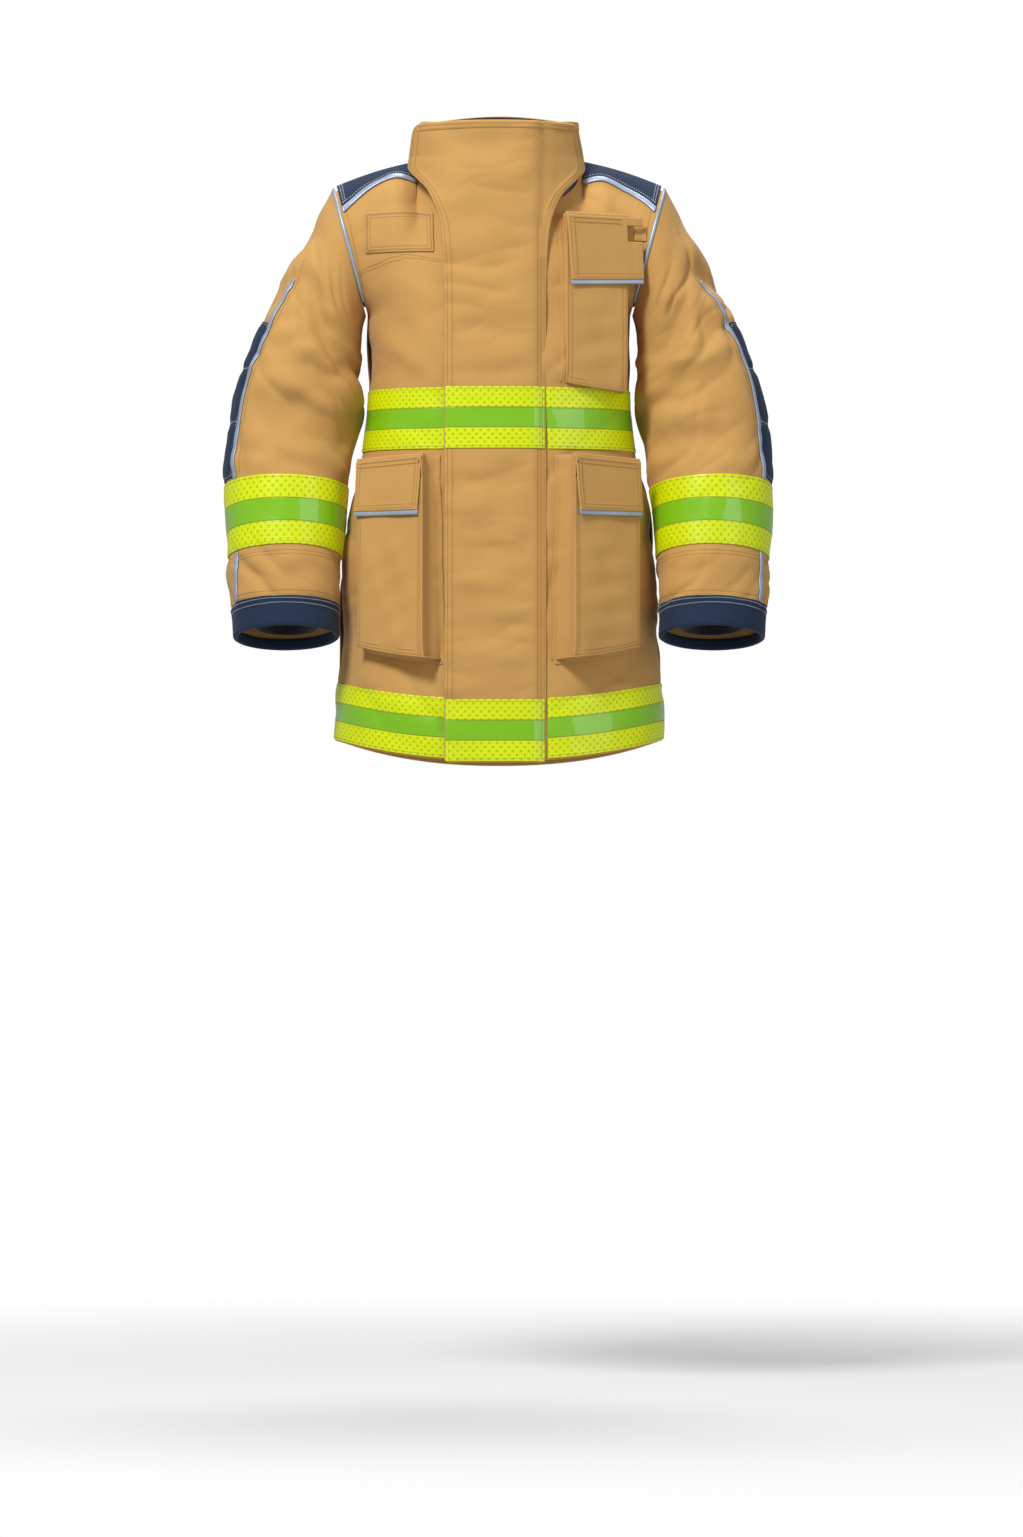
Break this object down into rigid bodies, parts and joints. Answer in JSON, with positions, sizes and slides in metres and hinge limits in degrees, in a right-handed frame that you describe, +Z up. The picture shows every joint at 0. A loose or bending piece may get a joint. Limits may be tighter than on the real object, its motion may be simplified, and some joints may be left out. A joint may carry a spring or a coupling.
{
  "type": "turnout coat",
  "caption": "Firefighter's turnout coat with stand collar and storm flap over a zip, bellows pockets, elbow pads, knit wristlets and reflective bands.",
  "frame": {"origin": "middle of the neck at shoulder height, on the coat's plane of symmetry", "axes": "+Z up the coat, the wearer faces -Y, the wearer's left is +X"},
  "size_m": [0.6844, 0.307, 0.822],
  "materials": {
    "shell_cloth": "woven aramid twill, golden tan, matte",
    "navy_cloth": "coated woven reinforcement, navy, matte",
    "liner_cloth": "quilted thermal liner, near black, matte",
    "knit": "ribbed knit, near black, matte",
    "reflective_band": "lime yellow reflective trim with a green centre stripe, glossy",
    "reflective_piping": "grey reflective piping, satin",
    "hook_and_loop": "hook and loop tape, tan, matte",
    "zip_tape": "woven zip tape, tan, matte",
    "zip_plastic": "moulded plastic, black, satin",
    "zip_metal": "cast metal, satin"
  },
  "bodies": {
    "coat": {"back_panel": "shell_cloth", "chest_band": "reflective_band", "collar_lining": "liner_cloth", "collar_shell": "shell_cloth", "hanger_loop": "navy_cloth", "hem_band": "reflective_band", "left_armhole_piping": "reflective_piping", "left_cargo_pocket": "shell_cloth", "left_elbow_pad": "navy_cloth", "left_elbow_section": "shell_cloth", "left_front_panel": "shell_cloth", "left_shoulder_yoke": "navy_cloth", "left_sleeve_liner": "liner_cloth", "left_sleeve_piping": "reflective_piping", "left_upper_sleeve": "shell_cloth", "left_yoke_piping": "reflective_piping", "left_zip_chain": "zip_plastic", "left_zip_tape": "zip_tape", "liner_back": "liner_cloth", "liner_left_front": "liner_cloth", "liner_right_front": "liner_cloth", "loop_tape": "hook_and_loop", "microphone_tab": "shell_cloth", "name_patch": "shell_cloth", "radio_pocket": "shell_cloth", "right_armhole_piping": "reflective_piping", "right_cargo_pocket": "shell_cloth", "right_elbow_pad": "navy_cloth", "right_elbow_section": "shell_cloth", "right_front_panel": "shell_cloth", "right_shoulder_yoke": "navy_cloth", "right_sleeve_liner": "liner_cloth", "right_sleeve_piping": "reflective_piping", "right_upper_sleeve": "shell_cloth", "right_yoke_piping": "reflective_piping", "right_zip_chain": "zip_plastic", "right_zip_tape": "zip_tape", "throat_wing": "shell_cloth", "zip_box": "zip_plastic"},
    "storm_flap": {"storm_flap": "shell_cloth", "flap_chest_band": "reflective_band", "flap_hem_band": "reflective_band", "hook_tape": "hook_and_loop"},
    "radio_flap": {"radio_pocket_flap": "shell_cloth", "radio_flap_piping": "reflective_piping"},
    "left_pocket_flap": {"left_cargo_flap": "shell_cloth", "left_cargo_flap_piping": "reflective_piping"},
    "right_pocket_flap": {"right_cargo_flap": "shell_cloth", "right_cargo_flap_piping": "reflective_piping"},
    "zip_slider": {"zip_slider": "zip_metal", "zip_pull": "zip_plastic"},
    "left_forearm": {"left_forearm_sleeve": "shell_cloth", "left_sleeve_band": "reflective_band", "left_cuff_binding": "navy_cloth", "left_wristlet": "knit"},
    "right_forearm": {"right_forearm_sleeve": "shell_cloth", "right_sleeve_band": "reflective_band", "right_cuff_binding": "navy_cloth", "right_wristlet": "knit"}
  },
  "joints": [
    {"name": "storm_flap_hinge", "type": "hinge", "parent": "coat", "child": "storm_flap", "pos_m": [0.0582, -0.1515, -0.745], "axis": [0, 0.0526, 0.9986], "range_deg": [0, 110]},
    {"name": "radio_flap_hinge", "type": "hinge", "parent": "coat", "child": "radio_flap", "pos_m": [0.08453, -0.11462, -0.0665], "axis": [-0.9137, -0.406, 0.0179], "range_deg": [0, 120]},
    {"name": "left_pocket_flap_hinge", "type": "hinge", "parent": "coat", "child": "left_pocket_flap", "pos_m": [0.0948, -0.14708, -0.36734], "axis": [-0.7891, -0.612, 0.0527], "range_deg": [0, 170]},
    {"name": "right_pocket_flap_hinge", "type": "hinge", "parent": "coat", "child": "right_pocket_flap", "pos_m": [-0.0958, -0.14623, -0.36736], "axis": [-0.7891, 0.6119, -0.0531], "range_deg": [0, 170]},
    {"name": "zip_slide", "type": "slide", "parent": "coat", "child": "zip_slider", "axis": [0, -0.0499, -0.9988], "range_m": [0, 0.62]},
    {"name": "left_elbow", "type": "hinge", "parent": "coat", "child": "left_forearm", "pos_m": [0.2525, -0.008, -0.3], "axis": [-1, 0, 0], "range_deg": [0, 70], "deforming": ["left_elbow_section", "left_sleeve_liner", "left_elbow_pad", "left_sleeve_piping"]},
    {"name": "right_elbow", "type": "hinge", "parent": "coat", "child": "right_forearm", "pos_m": [-0.2525, -0.008, -0.3], "axis": [-1, 0, 0], "range_deg": [0, 70], "deforming": ["right_elbow_section", "right_sleeve_liner", "right_elbow_pad", "right_sleeve_piping"]}
  ]
}
